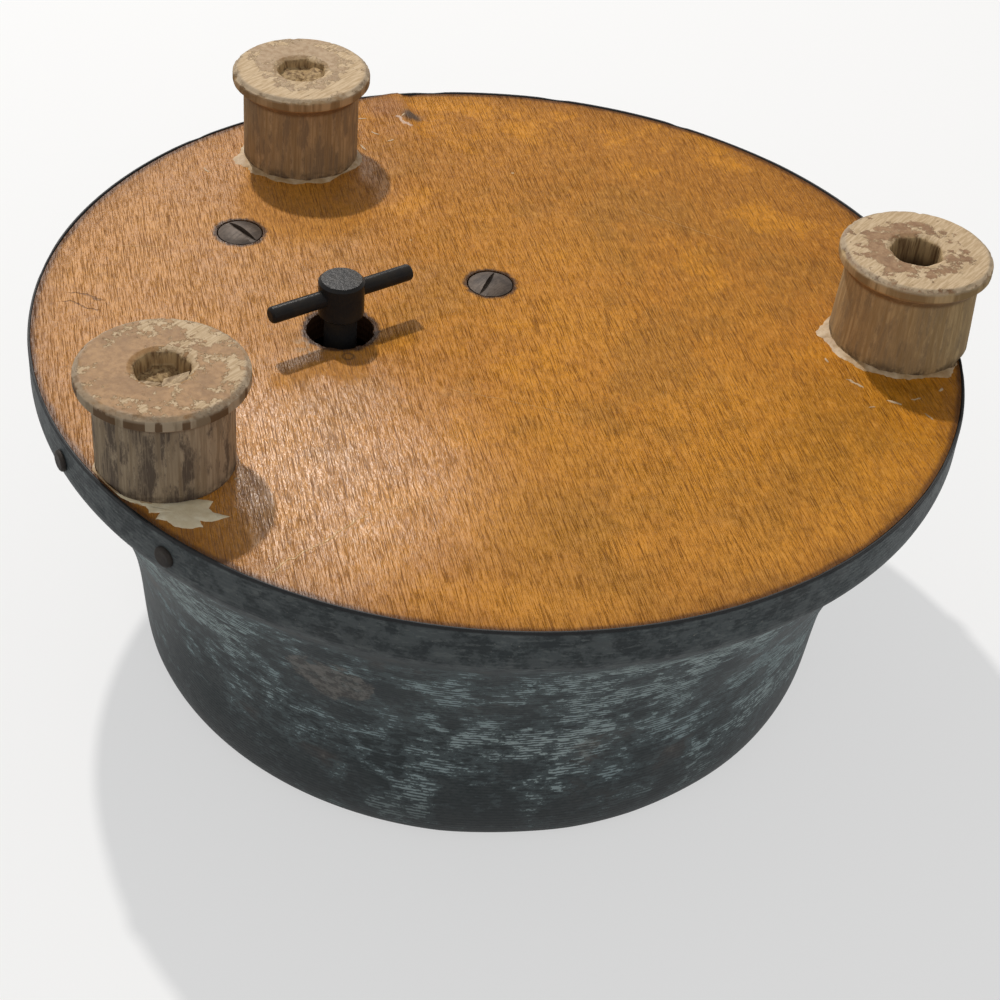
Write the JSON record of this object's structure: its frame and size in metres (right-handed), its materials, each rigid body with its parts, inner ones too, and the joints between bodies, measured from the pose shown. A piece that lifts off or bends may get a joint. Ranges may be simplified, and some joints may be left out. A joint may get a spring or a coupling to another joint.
{
  "type": "disc music box",
  "caption": "Round spun-metal music box lying on its top: plywood base with spool feet and a winding key, and a disc movement under the open top.",
  "frame": {"origin": "on the case's axis, in the plane of the lip round the disc opening, on which the box lies as pictured", "axes": "+Z out of the base board (the box is upside down, so its playing side looks along -Z), +X to the right and +Y away from the camera in the picture"},
  "size_m": [0.1624, 0.1605, 0.0826],
  "materials": {
    "patinated_tinplate": "dark grey-green patina, satin",
    "varnished_plywood": "old glossy varnish, scratched",
    "spool_wood": "bare turned wood, worn and dirty",
    "dark_iron": "dull, oxidised",
    "gunmetal_screw": "darkened, satin",
    "blacked_steel": "glossy black oxide",
    "bright_steel": "plain turned steel",
    "spring_steel": "blued, satin",
    "disc_steel": "rolled sheet, aged",
    "nickelled_steel": "nickelled, dulled",
    "black_casting": "black enamel",
    "brass": "machined, aged",
    "felt": "pressed felt"
  },
  "bodies": {
    "case": {"case_shell": "patinated_tinplate", "base_board": "varnished_plywood", "rim_nails": "dark_iron", "foot_front_left": "spool_wood", "foot_back_left": "spool_wood", "foot_right": "spool_wood", "fixing_screws": "gunmetal_screw", "screw_spacers": "brass", "rear_plate": "nickelled_steel", "bedplate": "black_casting", "frame_pillars": "brass", "pillar_screws": "bright_steel", "click_stud": "bright_steel", "click_spring": "spring_steel", "star_shaft": "bright_steel", "star_brackets": "brass", "comb": "spring_steel", "comb_base": "black_casting", "comb_screws": "bright_steel", "arm_hinge_pin": "bright_steel", "arm_hinge_ears": "brass"},
    "key": {"winding_key": "blacked_steel", "key_crossbar": "blacked_steel", "barrel_arbor": "bright_steel", "ratchet_wheel": "bright_steel"},
    "spindle": {"disc_spindle": "bright_steel", "spindle_pinion": "bright_steel", "spindle_wheel": "brass", "disc_hub": "brass", "drive_pins": "bright_steel", "tune_disc": "disc_steel"},
    "barrel": {"mainspring_barrel": "brass", "barrel_cover": "brass", "mainspring": "spring_steel"},
    "second": {"second_arbor": "bright_steel", "second_pinion": "bright_steel", "second_wheel": "brass"},
    "third": {"third_arbor": "bright_steel", "third_pinion": "bright_steel", "third_wheel": "brass"},
    "fly": {"fly_arbor": "bright_steel", "fly_pinion": "bright_steel", "fly_vanes": "brass"},
    "stars": {"star_wheels": "bright_steel"},
    "click": {"click": "bright_steel"},
    "arm": {"hold_down_arm": "nickelled_steel", "hold_down_pad": "felt"}
  },
  "joints": [
    {"name": "key_turn", "type": "hinge", "parent": "case", "child": "key", "pos_m": [-0.02685, -0.00795, 0.06], "axis": [0, 0, 1], "continuous": true},
    {"name": "disc_turn", "type": "hinge", "parent": "case", "child": "spindle", "pos_m": [0, 0, 0.03], "axis": [0, 0, 1], "continuous": true},
    {"name": "barrel_turn", "type": "hinge", "parent": "case", "child": "barrel", "pos_m": [-0.02685, -0.00795, 0.03], "axis": [0, 0, 1], "continuous": true},
    {"name": "second_turn", "type": "hinge", "parent": "case", "child": "second", "pos_m": [0.008, -0.01386, 0.03], "axis": [0, 0, 1], "continuous": true},
    {"name": "third_turn", "type": "hinge", "parent": "case", "child": "third", "pos_m": [0.02006, -0.01173, 0.03], "axis": [0, 0, 1], "continuous": true},
    {"name": "fly_turn", "type": "hinge", "parent": "case", "child": "fly", "pos_m": [0.02163, -0.00287, 0.03], "axis": [0, 0, 1], "continuous": true},
    {"name": "stars_turn", "type": "hinge", "parent": "case", "child": "stars", "pos_m": [0.03687, 0, 0.01212], "axis": [1, 0, 0], "continuous": true},
    {"name": "click_lift", "type": "hinge", "parent": "case", "child": "click", "pos_m": [-0.02964, 0.00521, 0.0462], "axis": [0, 0, 1], "range_deg": [0, 12], "stiffness_Nm_per_rad": 0.002, "springref_deg": -20.05, "deforming": ["click_spring"]},
    {"name": "arm_swing", "type": "hinge", "parent": "case", "child": "arm", "pos_m": [0.0567, 0, 0.0046], "axis": [0, 1, 0], "range_deg": [-90, 0]}
  ],
  "couplings": [
    {"joint": "barrel_turn", "follows": "disc_turn", "ratio": -0.25},
    {"joint": "second_turn", "follows": "disc_turn", "ratio": -7},
    {"joint": "third_turn", "follows": "disc_turn", "ratio": 42},
    {"joint": "fly_turn", "follows": "disc_turn", "ratio": -210}
  ]
}
